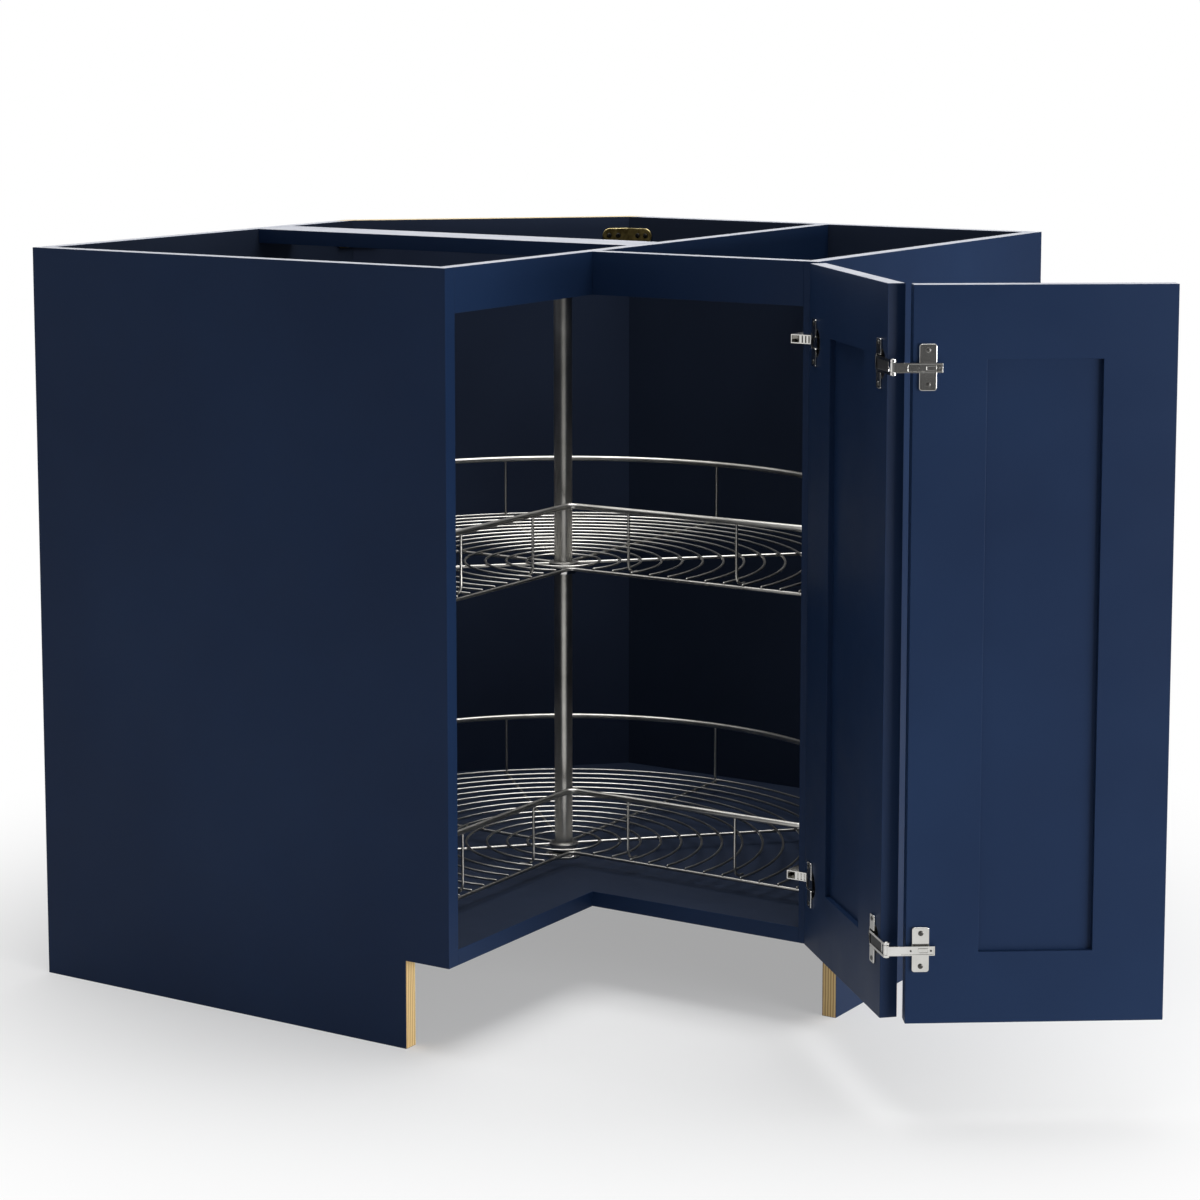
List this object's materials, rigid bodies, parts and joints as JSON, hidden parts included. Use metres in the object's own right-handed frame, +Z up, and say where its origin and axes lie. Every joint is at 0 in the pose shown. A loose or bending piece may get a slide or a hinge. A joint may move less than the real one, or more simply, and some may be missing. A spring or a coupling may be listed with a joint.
{
  "type": "corner carousel cabinet",
  "caption": "L-shaped kitchen corner base cabinet with pie-cut wire carousel shelves on a pole and a folding pair of shaker doors that open together to one side.",
  "frame": {"origin": "middle of the bounding box's underside with the doors open as pictured; the floor is z = 0", "axes": "+Z up; -X towards the wall that the left leg backs on; +Y towards the wall that the right leg backs on; the room corner is at -X +Y"},
  "size_m": [1.3262, 0.885, 0.8763],
  "materials": {
    "navy_painted_ply": "satin navy paint over plywood, eased edges",
    "nickel_wire": "brushed nickel plate on round steel wire and tube",
    "plated_hinge": "bright nickel plate on pressed and die-cast steel",
    "aged_brass": "dull aged brass plate on bent steel strip",
    "black_nylon": "moulded black nylon"
  },
  "bodies": {
    "cabinet": {"left_side_panel": "navy_painted_ply", "right_side_panel": "navy_painted_ply", "left_back_panel": "navy_painted_ply", "right_back_panel": "navy_painted_ply", "diagonal_back_panel": "navy_painted_ply", "floor_panel": "navy_painted_ply", "long_front_rail": "navy_painted_ply", "short_front_rail": "navy_painted_ply", "pole_stretcher": "navy_painted_ply", "right_corner_bracket": "aged_brass", "left_corner_bracket": "aged_brass", "pole": "nickel_wire", "pole_base_flange": "nickel_wire", "pole_top_socket": "nickel_wire", "lower_shelf_bearing": "black_nylon", "lower_cabinet_hinge_arm": "plated_hinge", "lower_cabinet_hinge_plate": "plated_hinge", "lower_cabinet_hinge_pin": "plated_hinge", "upper_cabinet_hinge_arm": "plated_hinge", "upper_cabinet_hinge_plate": "plated_hinge", "upper_cabinet_hinge_pin": "plated_hinge"},
    "lower_shelf": {"lower_shelf_wires_right_front": "nickel_wire", "lower_shelf_wires_right_back": "nickel_wire", "lower_shelf_wires_left_back": "nickel_wire", "lower_shelf_wires_left_front": "nickel_wire", "lower_shelf_guard_rail": "nickel_wire", "lower_shelf_hub": "nickel_wire"},
    "upper_collar": {"upper_shelf_collar": "plated_hinge"},
    "upper_shelf": {"upper_shelf_wires_right_front": "nickel_wire", "upper_shelf_wires_right_back": "nickel_wire", "upper_shelf_wires_left_back": "nickel_wire", "upper_shelf_wires_left_front": "nickel_wire", "upper_shelf_guard_rail": "nickel_wire", "upper_shelf_hub": "nickel_wire"},
    "first_leaf": {"first_leaf_fold_stile": "navy_painted_ply", "first_leaf_outer_stile": "navy_painted_ply", "first_leaf_bottom_rail": "navy_painted_ply", "first_leaf_top_rail": "navy_painted_ply", "first_leaf_panel": "navy_painted_ply", "lower_cabinet_hinge_cup": "plated_hinge", "lower_fold_hinge_cup": "plated_hinge", "lower_fold_hinge_pin": "plated_hinge", "upper_cabinet_hinge_cup": "plated_hinge", "upper_fold_hinge_cup": "plated_hinge", "upper_fold_hinge_pin": "plated_hinge"},
    "second_leaf": {"second_leaf_fold_stile": "navy_painted_ply", "second_leaf_outer_stile": "navy_painted_ply", "second_leaf_bottom_rail": "navy_painted_ply", "second_leaf_top_rail": "navy_painted_ply", "second_leaf_panel": "navy_painted_ply", "lower_fold_hinge_arm": "plated_hinge", "lower_fold_hinge_plate": "plated_hinge", "upper_fold_hinge_arm": "plated_hinge", "upper_fold_hinge_plate": "plated_hinge"}
  },
  "joints": [
    {"name": "first_leaf_swing", "type": "hinge", "parent": "cabinet", "child": "first_leaf", "pos_m": [0.22094, -0.1555, 0.485], "axis": [0, 0, 1], "range_deg": [-135.5, 29.5]},
    {"name": "second_leaf_fold", "type": "hinge", "parent": "first_leaf", "child": "second_leaf", "pos_m": [0.42498, -0.36232, 0.485], "axis": [0, 0, -1], "range_deg": [-10.41, 2.27]},
    {"name": "lower_shelf_turn", "type": "hinge", "parent": "cabinet", "child": "lower_shelf", "pos_m": [-0.18906, -0.0315, 0.138], "axis": [0, 0, 1], "range_deg": [-360, 360]},
    {"name": "upper_collar_slide", "type": "slide", "parent": "cabinet", "child": "upper_collar", "axis": [0, 0, 1], "range_m": [-0.15, 0.15]},
    {"name": "upper_shelf_turn", "type": "hinge", "parent": "upper_collar", "child": "upper_shelf", "pos_m": [-0.18906, -0.0315, 0.488], "axis": [0, 0, 1], "range_deg": [-360, 360]}
  ],
  "couplings": [
    {"joint": "second_leaf_fold", "follows": "first_leaf_swing", "ratio": 0.076753}
  ]
}
